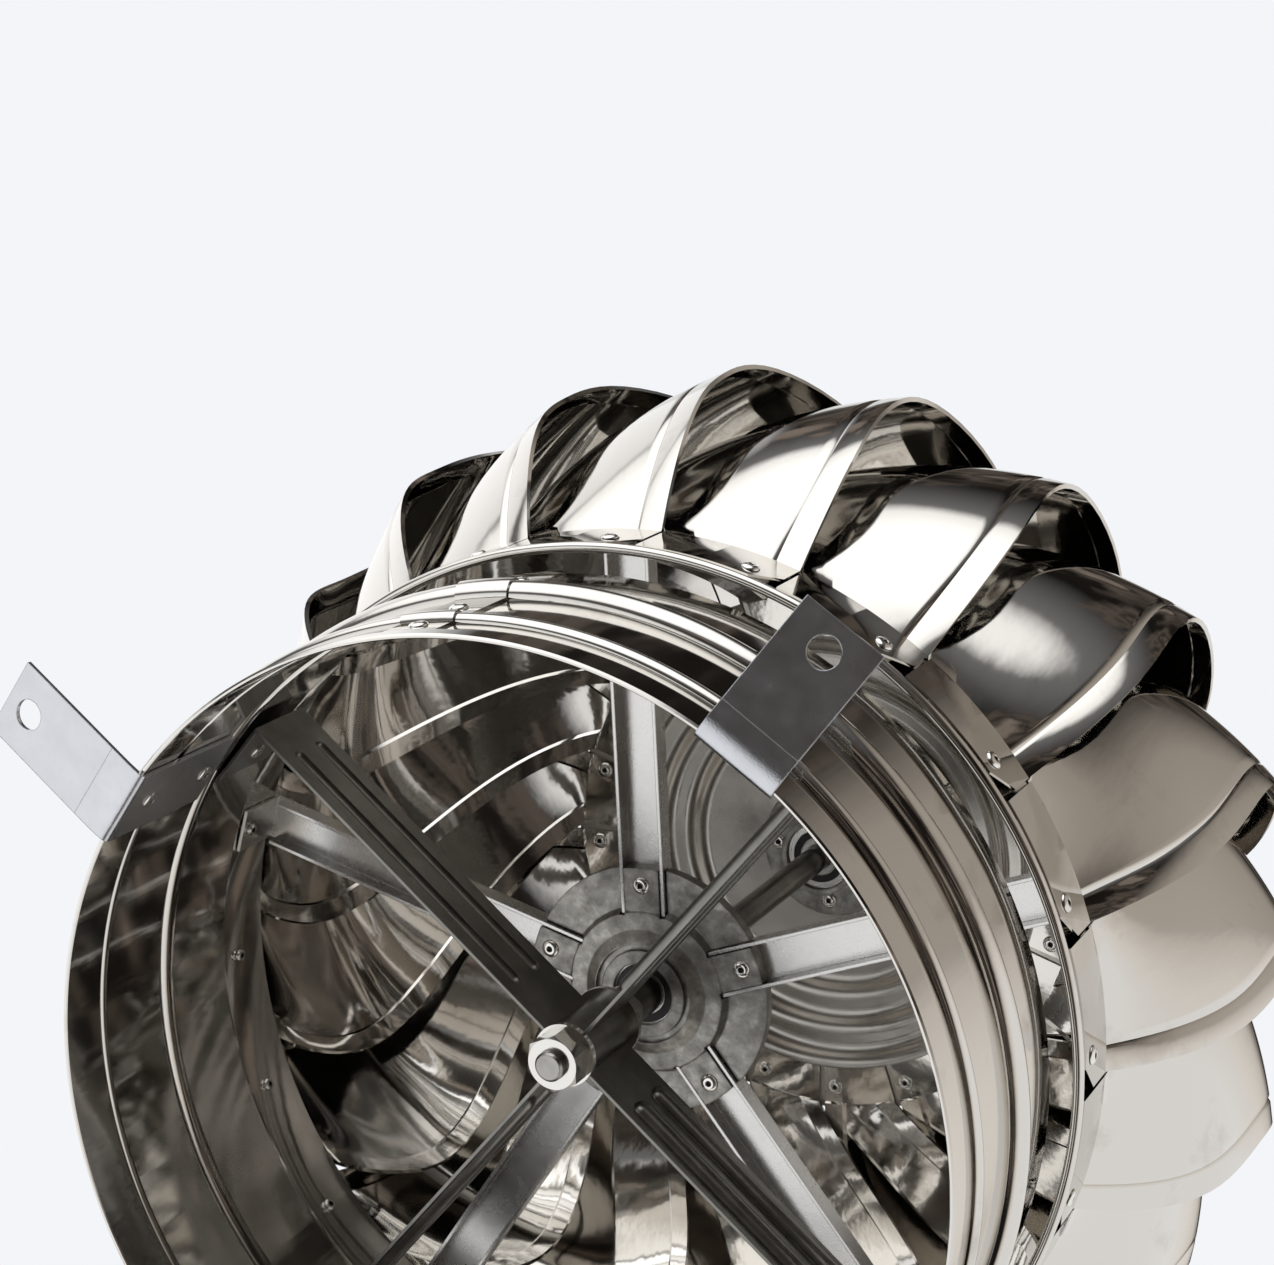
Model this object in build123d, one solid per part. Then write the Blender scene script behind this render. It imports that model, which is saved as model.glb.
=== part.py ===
from build123d import *
from math import cos, degrees, radians, sin, sqrt, tan
import os

# Roof turbine ventilator with a 300 mm throat: a head of scoop vanes turns on a fixed
# shaft that a ribbed cross brace holds in the middle of the throat collar.
# Millimetres and degrees. Origin: middle of the throat, on the plane of the four
# fixing-tab folds. +Z points up the shaft to the top plate, +X through the first tab.
# Angles are counted about +Z from +X. Heights are counted from the collar's rim.

# ---- driving dimensions: sheet and fasteners ----------------------------------------
sheet = 0.8                  # stainless sheet of collar, ring, vanes and top plate
seat_gap = 0.3               # gap between curved sheets that are riveted together
flat_gap = 0.15              # gap behind a flat strip whose edges touch a round wall
rivet_head_radius = 3.2
rivet_head_height = 1.1
rivet_crown_radius = 1.6     # flat on top of the head
rivet_shank_radius = 1.6
rivet_tail_radius = 2.2
rivet_tail_height = 1.5
rivet_clearance = 0.1        # radial clearance of a rivet in its hole
rivet_drill = 8.0            # rivet holes are cut this far both ways
tail_gap = 0.05              # gap under a rivet's tail on a curved wall

# ---- driving dimensions: throat collar ----------------------------------------------
throat_bore = 300.0          # inside diameter of the collar
collar_height = 92.0
rim_hem_height = 6.0         # safety edge folded outward at the rim
low_bead_height = 20.0
low_bead_radius = 1.9
high_bead_height = 56.5
high_bead_radius = 4.2
seam_angle = 47.0            # middle of the collar's lap seam
seam_lap = 18.0              # width of the lap along the wall
seam_rivet_low = 12.0        # between the hem and the low bead
seam_rivet_middle = 37.0     # between the beads
seam_rivet_high = 77.0       # above the high bead

# ---- driving dimensions: fixing tabs ------------------------------------------------
tab_count = 4
tab_width = 28.0
tab_thickness = 1.5
tab_leg = 50.0               # leg inside the throat, from the rim upwards
tab_low_reach = 52.7         # first and third outside leg, from the collar's face to the tip
tab_high_reach = 49.0        # second and fourth outside leg
tab_foot = 3.5               # flat that lies under the rim before the leg rises
tab_low_slope = 6.0          # rise of the first and third tab
tab_high_slope = 24.0        # rise of the second and fourth tab
tab_hole_radius = 5.0
tab_hole_inset = 9.6         # hole centre from the tip
tab_rivet_low = 12.0
tab_rivet_high = 43.0

# ---- driving dimensions: cross brace ------------------------------------------------
brace_turn = 5.5             # first brace arm against the first fixing tab
brace_height = 61.0          # lower edge of the brace strips
brace_width = 29.0
brace_strip = 1.2
brace_rib_radius = 2.4
brace_rib_inset = 8.0        # rib's centre line from the strip's edge
brace_rib_start = 30.0       # distance of the ribs from the shaft's axis
brace_rib_end_gap = 16.0     # distance of the ribs from the bent end
brace_end_flange = 24.0      # bent end that is riveted to the collar
brace_rivet_inset = 15.0     # rivet from the bend
hub_tube_radius = 9.5

# ---- driving dimensions: shaft and what is on it ------------------------------------
shaft_radius = 5.0
shaft_tail = 3.0             # shaft end that stands out of the end nut
shaft_chamfer = 0.8
sleeve_clearance = 0.1       # radial clearance of nuts, washers and tubes
nut_across = 17.0
nut_height = 8.4
top_nut_height = 5.0
washer_radius = 10.5
cap_washer_radius = 12.0
washer_thickness = 2.0
spacer_radius = 7.0
clip_radius = 7.3
clip_thickness = 1.0

# ---- driving dimensions: bearings ---------------------------------------------------
bearing_outside = 26.0
bearing_width = 8.0
ring_land = 2.6              # radial thickness of each bearing ring
ball_radius = 2.35
ball_count = 7
groove_clearance = 0.12
bearing_fit = 0.02           # radial fit on the shaft and in the hubs
cage_width = 1.2             # radial width of the cage
cage_thickness = 0.8
seal_thickness = 0.5
seal_gap = 0.2

# ---- driving dimensions: turning head -----------------------------------------------
ring_radius = 157.0          # inside of the bottom ring
ring_rise = 98.0             # lower edge of the ring above the rim
ring_height = 29.0
ring_curl_radius = 1.8       # rolled lower edge
vane_count = 20
vane_turn = 57.1             # leading corner of the first vane, at the ring's top
vane_share = 0.975           # share of the pitch that a vane's foot covers
tip_share = 0.92             # share of the pitch that a vane's tip covers
foot_overlap = 23.0          # foot flange on the ring
foot_chamfer = 9.0           # cut-off corner of the foot flange
foot_rivet_turn = 4.1        # rivet from the leading corner
foot_rivet_drop = 15.5       # rivet below the ring's top
tip_radius = 103.0           # fold of the tip flange
tip_flange = 15.0            # tip flange, from its fold inwards
tip_turn = 15.0              # leading tip corner against the leading foot corner
tip_rivet_turn = 2.6
tip_rivet_inset = 7.0
shoulder_swell = 36.0        # leading edge, outside the ring, at four heights up the vane
shoulder_turn = -2.2
shoulder_share = 0.28
crown_swell = 41.1
crown_turn = -3.6
crown_share = 0.5
brow_swell = 38.9
brow_turn = -2.1
brow_share = 0.7
peak_swell = 9.6
peak_turn = 8.4
peak_share = 0.895
heel_swell = 7.0             # trailing edge, outside the ring, at three heights
heel_turn = -24.0
heel_share = 0.235
waist_swell = 10.0
waist_turn = -27.0
waist_share = 0.49
neck_swell = 1.0
neck_turn = -24.0
neck_share = 0.71
vane_rows = 9                # points of the sheet from foot to tip
vane_columns = 5             # points of the sheet from edge to edge
foot_lap = 0.4               # how far the curved sheet runs into its flanges
tip_lap = 0.1
side_inset = 0.2             # turn by which it stays inside their ends
plate_rise = 284.8           # underside of the top plate's outer flange
plate_overhang = 2.0         # plate beyond the fold of the tip flanges
plate_step_gap = 2.0         # outermost step inside the tip flanges
plate_floor_radius = 47.0    # flat middle
plate_step_count = 3
plate_step_rise = 3.6        # rise of each step
plate_step_slope = 5.0       # width of each step's slope

# ---- driving dimensions: arms and hubs ----------------------------------------------
arm_count = 5
arm_rise = 128.0             # underside of the arms' webs
arm_width = 16.0
arm_sheet = 1.2
arm_flange = 7.0             # depth of the folded sides
arm_start = 27.0             # inner end from the axis
arm_end_flange = 22.0        # outer end, folded down along the ring
arm_end_relief = 4.0         # sides stop short of the fold
arm_clearance = 0.4          # hub's slots around the arms' sides
hub_radius = 43.5
hub_flange = 4.0
hub_core_radius = 28.0
hub_core_drop = 3.0          # thick middle below the flange
hub_core_slope = 1.5         # width of the slope round the thick middle
hub_boss_drop = 2.4          # bosses for the arms below the flange
hub_cone_radius = 22.0
hub_cone_drop = 2.6
hub_groove_radius = 17.5
hub_groove_depth = 2.0
hub_groove_width = 2.2
hub_lip_radius = 10.9
hub_lip = 1.8                # shoulder under the lower bearing
hub_rivet_inset = 6.0        # rivet from the hub's edge
top_hub_radius = 27.5
top_hub_thickness = 3.0
top_hub_wall = 2.2           # cup around the upper bearing
top_hub_skirt = 1.6          # cup below the bearing
top_hub_shoulder = 6.5       # solid over the bearing, with the shaft's end inside
top_rivet_count = 4
top_rivet_radius = 21.5
top_rivet_turn = 55.5

# ---- levels and radii that follow ---------------------------------------------------
rim = tab_thickness
collar_inside = throat_bore / 2
collar_outside = collar_inside + sheet
brace_low = rim + brace_height
brace_top = brace_low + brace_width
brace_middle = brace_low + brace_width / 2
ring_low = rim + ring_rise
ring_top = ring_low + ring_height
ring_outside = ring_radius + sheet
foot_inside = ring_outside + seat_gap
hub_rivet_radius = hub_radius - hub_rivet_inset
plate_radius = tip_radius + plate_overhang
plate_step_radius = tip_radius - tip_flange - plate_step_gap
plate_low = rim + plate_rise
plate_floor = plate_low + plate_step_count * plate_step_rise
tip_low = plate_low - flat_gap - sheet
arm_low = rim + arm_rise
hub_flange_low = arm_low - hub_flange
bearing_bore = shaft_radius + bearing_fit
bearing_rim = bearing_outside / 2
ball_pitch = (shaft_radius + bearing_rim) / 2
hub_core_low = hub_flange_low - hub_core_drop
lower_bearing = hub_core_low + hub_lip - hub_cone_drop
upper_bearing = plate_floor - top_hub_shoulder - bearing_width
vane_pitch = 360 / vane_count
foot_span = vane_pitch * vane_share
tip_span = vane_pitch * tip_share


def polar(radius, angle, z=0.0):
    """Point at a radius and an angle about the shaft."""
    return Vector(radius * cos(radians(angle)), radius * sin(radians(angle)), z)


def evenly(count, start=0.0):
    """Angles of evenly spaced copies."""
    return [start + 360 * step / count for step in range(count)]


def turned(*outline):
    """Solid of revolution about the shaft from (radius, height) corners."""
    corners = [(radius, 0, z) for radius, z in outline]
    return revolve(make_face(Polyline(*corners, close=True)), Axis.Z)


def tube(inside, outside, low, high):
    """Straight tube round the shaft."""
    return turned((inside, low), (outside, low), (outside, high), (inside, high))


def facing(origin, outward):
    """Placement whose local +Z points outward."""
    return Location(Plane(origin=origin, z_dir=outward))


def bar(low, high):
    """Box between two opposite corners."""
    middle = (Vector(*low) + Vector(*high)) / 2
    size = Vector(*high) - Vector(*low)
    return Pos(*middle) * Box(size.X, size.Y, size.Z)


def flat_seat(radius, reach):
    """Distance from the axis of a flat strip's back, where its edge meets a round wall."""
    return sqrt(radius ** 2 - reach ** 2) - flat_gap


def rivet(grip):
    """Blind rivet: chamfered head above local z = 0, and a tail below the grip."""
    shank, tail, end = rivet_shank_radius, rivet_tail_radius, -grip - rivet_tail_height
    return turned((0, rivet_head_height), (rivet_crown_radius, rivet_head_height),
                  (rivet_head_radius, 0), (shank, 0), (shank, -grip), (tail, -grip),
                  (tail, end), (0, end))


def rivet_hole():
    """Clearance hole for a rivet, from local z = 0 both ways."""
    return Cylinder(rivet_shank_radius + rivet_clearance, 2 * rivet_drill)


# ---- throat collar ------------------------------------------------------------------
def beaded_line(radius, growth, low, high):
    """Upright line at a radius that runs outward round both beads."""
    edges = []
    z = low
    for height, size in ((low_bead_height, low_bead_radius), (high_bead_height, high_bead_radius)):
        middle = rim + height
        reach = size + growth
        edges.append(Line((radius, 0, z), (radius, 0, middle - reach)))
        edges.append(ThreePointArc((radius, 0, middle - reach), (radius + reach, 0, middle),
                                   (radius, 0, middle + reach)))
        z = middle + reach
    edges.append(Line((radius, 0, z), (radius, 0, high)))
    return edges


def beaded_band(inside, low, high, growth, turn):
    """Sheet between two beaded lines, swept through an angle."""
    outside = inside + sheet
    outline = beaded_line(inside, growth, low, high) + beaded_line(outside, growth + sheet, low, high)
    outline.append(Line((inside, 0, low), (outside, 0, low)))
    outline.append(Line((inside, 0, high), (outside, 0, high)))
    return revolve(make_face(outline), Axis.Z, turn)


def seam_rivet_places():
    """Seam rivets stand on the outer sheet, clear of the beads."""
    radius = collar_outside + sheet
    return [facing(polar(radius, seam_angle, rim + height), polar(1, seam_angle))
            for height in (seam_rivet_low, seam_rivet_middle, seam_rivet_high)]


def throat_collar():
    """Rolled collar with a hemmed rim, two swaged beads and an outside lap seam."""
    top = rim + collar_height
    wall = beaded_band(collar_inside, rim, top, 0, 360)
    wall += tube(collar_outside, collar_outside + sheet, rim, rim + rim_hem_height)
    lap_turn = degrees(seam_lap / collar_outside)
    lap = beaded_band(collar_outside, rim + rim_hem_height, top, sheet, lap_turn)
    wall += Rot(0, 0, seam_angle - lap_turn / 2) * lap
    for place in seam_rivet_places():
        wall -= place * rivet_hole()
    for angle in evenly(tab_count):
        for place in tab_rivet_places(angle):
            wall -= place * rivet_hole()
        wall -= brace_rivet_place(angle) * rivet_hole()
    return wall


def throat_seam_rivets():
    return [place * rivet(2 * sheet + tail_gap) for place in seam_rivet_places()]


# ---- fixing tabs --------------------------------------------------------------------
def tab_back():
    """Back of the flat leg: its two edges touch the collar's round wall."""
    return flat_seat(collar_inside, tab_width / 2)


def tab_slope(index):
    return tab_low_slope if index % 2 == 0 else tab_high_slope


def tab_reach(index):
    return tab_low_reach if index % 2 == 0 else tab_high_reach


def tab_rivet_places(angle):
    """Rivet heads on the inner face of a tab's leg."""
    here = tab_back() - tab_thickness
    heights = (rim + tab_rivet_low, rim + tab_rivet_high)
    return [facing(polar(here, angle, z), polar(-1, angle)) for z in heights]


def tab_rivets():
    """The tails are on the outside of the collar."""
    grip = collar_outside - tab_back() + tab_thickness
    return [place * rivet(grip) for angle in evenly(tab_count) for place in tab_rivet_places(angle)]


def fixing_tab(index):
    """Strip with a leg inside the collar, a fold under the rim and a rising outside leg."""
    back, slope = tab_back(), tab_slope(index)
    run = Vector(cos(radians(slope)), 0, sin(radians(slope)))
    up = Vector(-sin(radians(slope)), 0, cos(radians(slope)))
    bend = Vector(collar_outside + tab_foot, 0, 0)
    inner_bend = bend + Vector(-tab_thickness * tan(radians(slope / 2)), 0, tab_thickness)
    tip = bend + run * (tab_reach(index) - tab_foot)
    outline = Polyline((back - tab_thickness, 0, rim + tab_leg), (back - tab_thickness, 0, 0), bend,
                       tip, tip + up * tab_thickness, inner_bend, (back, 0, tab_thickness),
                       (back, 0, rim + tab_leg), close=True)
    strip = extrude(make_face(outline), tab_width / 2, dir=(0, 1, 0), both=True)
    hole_centre = tip - run * tab_hole_inset
    strip -= facing(hole_centre, up) * Cylinder(tab_hole_radius, 6 * tab_thickness)
    for place in tab_rivet_places(0):
        strip -= place * rivet_hole()
    return strip


# ---- cross brace --------------------------------------------------------------------
def brace_end():
    """Back of the bent end: its far edge touches the collar's round wall."""
    return flat_seat(collar_inside, brace_end_flange)


def brace_rivet_place(angle):
    """Rivet head on the inner face of a brace arm's bent end."""
    here = Vector(brace_end() - brace_strip, -brace_rivet_inset, brace_middle)
    return Rot(0, 0, angle + brace_turn) * facing(here, (-1, 0, 0))


def brace_rivets():
    """The wall is oblique here, so the tail clears the near side of its rim."""
    wall = sqrt(collar_outside ** 2 - (brace_rivet_inset - rivet_tail_radius) ** 2)
    grip = wall - brace_end() + brace_strip + tail_gap
    return [brace_rivet_place(angle) * rivet(grip) for angle in evenly(tab_count)]


def rib_bar(radius, start, end, z):
    """Round bar with ball ends along the brace arm."""
    length = end - start
    shape = Pos((start + end) / 2, 0, z) * Rot(0, 90, 0) * Cylinder(radius, length)
    return shape + Pos(start, 0, z) * Sphere(radius) + Pos(end, 0, z) * Sphere(radius)


def brace_arm():
    """Strip on edge with two pressed ribs, and an end bent to lie along the collar."""
    end = brace_end()
    arm = bar((hub_tube_radius, -brace_strip / 2, brace_low), (end, brace_strip / 2, brace_top))
    arm += bar((end - brace_strip, -brace_end_flange, brace_low), (end, 0, brace_top))
    for z in (brace_low + brace_rib_inset, brace_top - brace_rib_inset):
        stretch = (brace_rib_start, end - brace_rib_end_gap, z)
        behind = bar((0, brace_strip / 2, brace_low), (end, 2 * brace_rib_radius, brace_top))
        arm += rib_bar(brace_rib_radius + brace_strip, *stretch) - behind
        arm -= Pos(0, brace_strip / 2, 0) * rib_bar(brace_rib_radius, *stretch)
    return Rot(0, 0, brace_turn) * arm - brace_rivet_place(0) * rivet_hole()


# ---- shaft and what is on it --------------------------------------------------------
def end_nut_low():
    return brace_low - washer_thickness - nut_height


def lock_nut_low():
    return brace_top + washer_thickness


def top_nut_low():
    return upper_bearing + bearing_width


def shaft():
    low = end_nut_low() - shaft_tail
    high = top_nut_low() + top_nut_height + shaft_chamfer
    return turned((0, low), (shaft_radius - shaft_chamfer, low),
                  (shaft_radius, low + shaft_chamfer), (shaft_radius, high - shaft_chamfer),
                  (shaft_radius - shaft_chamfer, high), (0, high))


def sleeve(radius, low, high):
    """Plain sleeve or washer with a clearance on the shaft."""
    return tube(shaft_radius + sleeve_clearance, radius, low, high)


def nut(low, height):
    """Hexagon nut whose corners are chamfered by a turned blank."""
    flat, corner, bore = nut_across / 2, nut_across / sqrt(3), shaft_radius + sleeve_clearance
    bevel = (corner - flat) / 2
    blank = Pos(0, 0, low) * extrude(RegularPolygon(flat, 6, major_radius=False), height)
    return blank & turned((bore, low), (flat, low), (corner, low + bevel),
                          (corner, low + height - bevel), (flat, low + height), (bore, low + height))


def shaft_washers():
    """One washer under the brace and a larger one over it."""
    return [sleeve(washer_radius, brace_low - washer_thickness, brace_low),
            sleeve(cap_washer_radius, brace_top, lock_nut_low())]


def shaft_clips():
    """Retaining rings above the lower bearing and below the upper one."""
    lower = lower_bearing + bearing_width
    return [sleeve(clip_radius, lower, lower + clip_thickness),
            sleeve(clip_radius, upper_bearing - clip_thickness, upper_bearing)]


# ---- bearings -----------------------------------------------------------------------
def bearing_ring(inside, outside, low):
    """Bearing ring with a groove for the balls."""
    middle = low + bearing_width / 2
    groove = Pos(0, 0, middle) * Torus(ball_pitch, ball_radius + groove_clearance)
    return tube(inside, outside, low, low + bearing_width) - groove


def inner_ring(low):
    return bearing_ring(bearing_bore, shaft_radius + ring_land, low)


def outer_ring(low):
    return bearing_ring(bearing_rim - ring_land, bearing_rim, low)


def ball_set(low):
    """Balls with the cage ring that spaces them, as one turning set."""
    middle = low + bearing_width / 2
    half = cage_width / 2
    cage = tube(ball_pitch - half, ball_pitch + half, middle, middle + ball_radius + cage_thickness)
    balls = [Pos(*polar(ball_pitch, angle, middle)) * Sphere(ball_radius) for angle in evenly(ball_count)]
    for ball in balls:
        cage += ball
    return cage


def seal_ring(low):
    """Shield that closes the gap between the two rings of a bearing."""
    inside, outside = shaft_radius + ring_land + seal_gap, bearing_rim - ring_land - seal_gap
    return tube(inside, outside, low, low + seal_thickness)


def bearing_seals():
    return [seal_ring(lower_bearing), seal_ring(upper_bearing)]


# ---- bottom ring --------------------------------------------------------------------
def foot_rivet_z():
    return ring_top - foot_rivet_drop


def foot_rivet_place(angle):
    """Rivet head on a vane's foot flange."""
    here = polar(foot_inside + sheet, angle - foot_rivet_turn, foot_rivet_z())
    return facing(here, polar(1, angle - foot_rivet_turn))


def bottom_ring():
    """Rolled band with a curl along its lower edge."""
    curl = Pos(0, 0, ring_low + ring_curl_radius) * Torus(ring_outside, ring_curl_radius)
    band = tube(ring_radius, ring_outside, ring_low + ring_curl_radius, ring_top) + curl
    for angle in evenly(vane_count, vane_turn):
        band -= foot_rivet_place(angle) * rivet_hole()
    return band


# ---- vanes --------------------------------------------------------------------------
# The sheet spans two edge lines. Each point of a line is a radius, a height and a turn
# from the leading foot corner. Heights are shares of the way from the ring to the plate.
def edge_line(foot_turn, tip_end_turn, *stations):
    """Smooth line in (radius, turn, height) space. Its ends run into the two flanges."""
    rise = tip_low - ring_top
    points = [(foot_inside + foot_lap / 2, foot_turn, ring_top - foot_lap)]
    for swell, turn, share in stations:
        points.append((foot_inside + swell, turn, ring_top + share * rise))
    points.append((tip_radius - foot_lap, tip_end_turn, tip_low + tip_lap))
    return Spline(*points)


def leading_line():
    """Open scoop edge: swells out to the crown, then leans over to the tip."""
    return edge_line(-side_inset, tip_turn - side_inset,
                     (shoulder_swell, shoulder_turn, shoulder_share),
                     (crown_swell, crown_turn, crown_share),
                     (brow_swell, brow_turn, brow_share),
                     (peak_swell, peak_turn, peak_share))


def trailing_line():
    """Inner edge, which runs behind the neighbour's scoop."""
    return edge_line(side_inset - foot_span, tip_turn - tip_span + side_inset,
                     (heel_swell, heel_turn, heel_share),
                     (waist_swell, waist_turn, waist_share),
                     (neck_swell, neck_turn, neck_share))


def vane_point(leading, trailing, along, across):
    """Point on the sheet's inner face: along from foot to tip, across to the leading edge."""
    lead, trail = leading @ along, trailing @ along
    spot = trail + (lead - trail) * across
    return polar(spot.X, spot.Y, spot.Z)


def vane_sheet():
    """Curved sheet, thickened outwards from its inner face."""
    leading, trailing = leading_line(), trailing_line()
    rows = []
    for row in range(vane_rows):
        along = row / (vane_rows - 1)
        rows.append([vane_point(leading, trailing, along, column / (vane_columns - 1))
                     for column in range(vane_columns)])
    return Solid.thicken(Face.make_surface_from_array_of_points(rows, min_deg=3), sheet)


def sector(inside, outside, low, high, start, turn):
    """Part of a flat or upright ring."""
    face = make_face(Polyline((inside, 0, low), (outside, 0, low), (outside, 0, high),
                              (inside, 0, high), close=True))
    return Rot(0, 0, start) * revolve(face, Axis.Z, turn)


def foot_flange():
    """Flange on the ring with a cut-off lower leading corner."""
    low = ring_top - foot_overlap
    plate = sector(foot_inside, foot_inside + sheet, low, ring_top, -foot_span, foot_span)
    corner = make_face(Polyline((0, 0), (-foot_chamfer, 0), (0, foot_chamfer), close=True))
    place = Plane(origin=polar(foot_inside, 0, low), x_dir=(0, 1, 0), z_dir=(1, 0, 0))
    return plate - place * extrude(corner, foot_chamfer, both=True)


def tip_flange_sheet():
    """Flange under the top plate."""
    start = tip_turn - tip_span
    outside = tip_radius + foot_lap
    return sector(tip_radius - tip_flange, outside, tip_low, tip_low + sheet, start, tip_span)


def tip_rivet_place(angle):
    """Rivet head under a vane's tip flange."""
    here = polar(tip_radius - tip_rivet_inset, angle + tip_turn - tip_rivet_turn, tip_low)
    return facing(here, (0, 0, -1))


def vane():
    """Scoop vane at zero turn: curved sheet with a foot flange and a tip flange."""
    shape = vane_sheet() + foot_flange() + tip_flange_sheet()
    shape -= foot_rivet_place(0) * rivet_hole()
    return shape - tip_rivet_place(0) * rivet_hole()


def vane_foot_rivets():
    """At the arms the foot rivets also hold the arm's end, so they are longer there."""
    head = foot_inside + sheet
    rivets = []
    for index, angle in enumerate(evenly(vane_count, vane_turn)):
        at_arm = index % (vane_count // arm_count) == 0
        behind = arm_end() - arm_sheet if at_arm else ring_radius
        rivets.append(foot_rivet_place(angle) * rivet(head - behind + tail_gap))
    return rivets


def vane_tip_rivets():
    return [tip_rivet_place(angle) * rivet(2 * sheet + flat_gap) for angle in evenly(vane_count, vane_turn)]


# ---- top plate and top hub ----------------------------------------------------------
def plate_line(lift):
    """Section of the stepped plate, from its outer flange to the middle."""
    pitch = (plate_step_radius - plate_floor_radius) / plate_step_count
    points = [(plate_radius, plate_low + lift)]
    for step in range(plate_step_count):
        radius, z = plate_step_radius - step * pitch, plate_low + lift + step * plate_step_rise
        points.append((radius, z))
        points.append((radius - plate_step_slope, z + plate_step_rise))
    points.append((0, plate_floor + lift))
    return points


def top_rivet_places():
    """Rivet heads on the underside of the top hub."""
    low = plate_floor - top_hub_thickness
    return [facing(polar(top_rivet_radius, angle, low), (0, 0, -1))
            for angle in evenly(top_rivet_count, top_rivet_turn)]


def top_plate():
    """Pressed disc that rises to the middle in steps."""
    disc = turned(*plate_line(0), *reversed(plate_line(sheet)))
    for angle in evenly(vane_count, vane_turn):
        disc -= tip_rivet_place(angle) * rivet_hole()
    for place in top_rivet_places():
        disc -= place * rivet_hole()
    return disc


def top_hub():
    """Disc under the plate with a cup for the upper bearing, open round the shaft's nut."""
    seat, shoulder = bearing_rim + bearing_fit, plate_floor - top_hub_shoulder
    cup, low = seat + top_hub_wall, upper_bearing - top_hub_skirt
    hub = turned((seat, low), (cup, low), (cup, plate_floor - top_hub_thickness),
                 (top_hub_radius, plate_floor - top_hub_thickness), (top_hub_radius, plate_floor),
                 (hub_lip_radius, plate_floor), (hub_lip_radius, shoulder), (seat, shoulder))
    for place in top_rivet_places():
        hub -= place * rivet_hole()
    return hub


def top_hub_rivets():
    return [place * rivet(top_hub_thickness + sheet) for place in top_rivet_places()]


# ---- arms and lower hub -------------------------------------------------------------
def arm_end():
    """Outer face of the arm's folded end: its edges touch the ring's round wall."""
    return flat_seat(ring_radius, arm_width / 2)


def arm_angle():
    return vane_turn - foot_rivet_turn


def hub_rivet_place(angle):
    """Rivet head under a boss of the lower hub."""
    return facing(polar(hub_rivet_radius, angle, hub_flange_low - hub_boss_drop), (0, 0, -1))


def arm():
    """Channel open downwards, with its web over the hub and its end folded down."""
    end, half, high = arm_end(), arm_width / 2, arm_low + arm_sheet
    shape = bar((arm_start, -half, arm_low), (end, half, high))
    shape += bar((end - arm_sheet, -half, high - arm_end_flange), (end, half, high))
    for side in (-half, half - arm_sheet):
        shape += bar((arm_start, side, high - arm_flange),
                     (end - arm_end_relief, side + arm_sheet, high))
    shape -= hub_rivet_place(0) * rivet_hole()
    return shape - foot_rivet_place(foot_rivet_turn) * rivet_hole()


def lower_hub():
    """Die-cast hub: bearing seat in a coned middle, and a slotted flange with five bosses."""
    seat, core = bearing_rim + bearing_fit, hub_core_low
    nose, groove = core - hub_cone_drop, hub_groove_radius
    hub = turned((hub_lip_radius, nose), (groove - hub_groove_width, nose),
                 (groove - hub_groove_width, nose + hub_groove_depth), (groove, nose + hub_groove_depth),
                 (groove, nose), (hub_cone_radius, core), (hub_core_radius, core),
                 (hub_core_radius + hub_core_slope, hub_flange_low), (hub_radius, hub_flange_low),
                 (hub_radius, arm_low), (seat, arm_low), (seat, lower_bearing),
                 (hub_lip_radius, lower_bearing))
    channel = arm_width / 2 - arm_sheet
    boss = bar((hub_core_radius, -channel + arm_clearance, hub_flange_low - hub_boss_drop),
               (hub_radius, channel - arm_clearance, hub_flange_low))
    boss &= tube(seat, hub_radius, nose, hub_flange_low)
    slots = []
    for side in (-channel - arm_sheet - arm_clearance, channel - arm_clearance):
        slots.append(bar((arm_start - arm_clearance, side, arm_low - arm_flange),
                         (2 * hub_radius, side + arm_sheet + 2 * arm_clearance, 2 * arm_low)))
    for angle in evenly(arm_count, arm_angle()):
        hub += Rot(0, 0, angle) * boss
        for slot in slots:
            hub -= Rot(0, 0, angle) * slot
        hub -= hub_rivet_place(angle) * rivet_hole()
    return hub


def hub_rivets():
    grip = hub_flange + hub_boss_drop + arm_sheet
    return [hub_rivet_place(angle) * rivet(grip) for angle in evenly(arm_count, arm_angle())]


# ---- export -------------------------------------------------------------------------
def save(name, shapes):
    """One STEP file for each node; a node of like pieces holds several solids."""
    export_step(shapes if not isinstance(shapes, list) else Compound(shapes), f"parts/{name}.step")


def copies(name, shape, angles):
    """Numbered nodes of one shape at several angles."""
    for number, angle in enumerate(angles, start=1):
        save(f"{name}_{number}", Rot(0, 0, angle) * shape)


os.makedirs("parts", exist_ok=True)
save("throat_collar", throat_collar())
save("throat_seam_rivets", throat_seam_rivets())
for index, angle in enumerate(evenly(tab_count)):
    save(f"fixing_tab_{index + 1}", Rot(0, 0, angle) * fixing_tab(index))
save("fixing_tab_rivets", tab_rivets())
copies("brace_arm", brace_arm(), evenly(tab_count))
save("brace_rivets", brace_rivets())
save("brace_hub_tube", sleeve(hub_tube_radius, brace_low, brace_top))
save("shaft", shaft())
save("shaft_end_nut", nut(end_nut_low(), nut_height))
save("shaft_lock_nut", nut(lock_nut_low(), nut_height))
save("shaft_top_nut", nut(top_nut_low(), top_nut_height))
save("shaft_washers", shaft_washers())
save("shaft_spacer", sleeve(spacer_radius, lock_nut_low() + nut_height, lower_bearing))
save("shaft_clips", shaft_clips())
for side, low in (("lower", lower_bearing), ("upper", upper_bearing)):
    save(f"{side}_bearing_inner_ring", inner_ring(low))
    save(f"{side}_bearing_outer_ring", outer_ring(low))
    save(f"{side}_bearing_balls", ball_set(low))
save("bearing_seals", bearing_seals())
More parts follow.
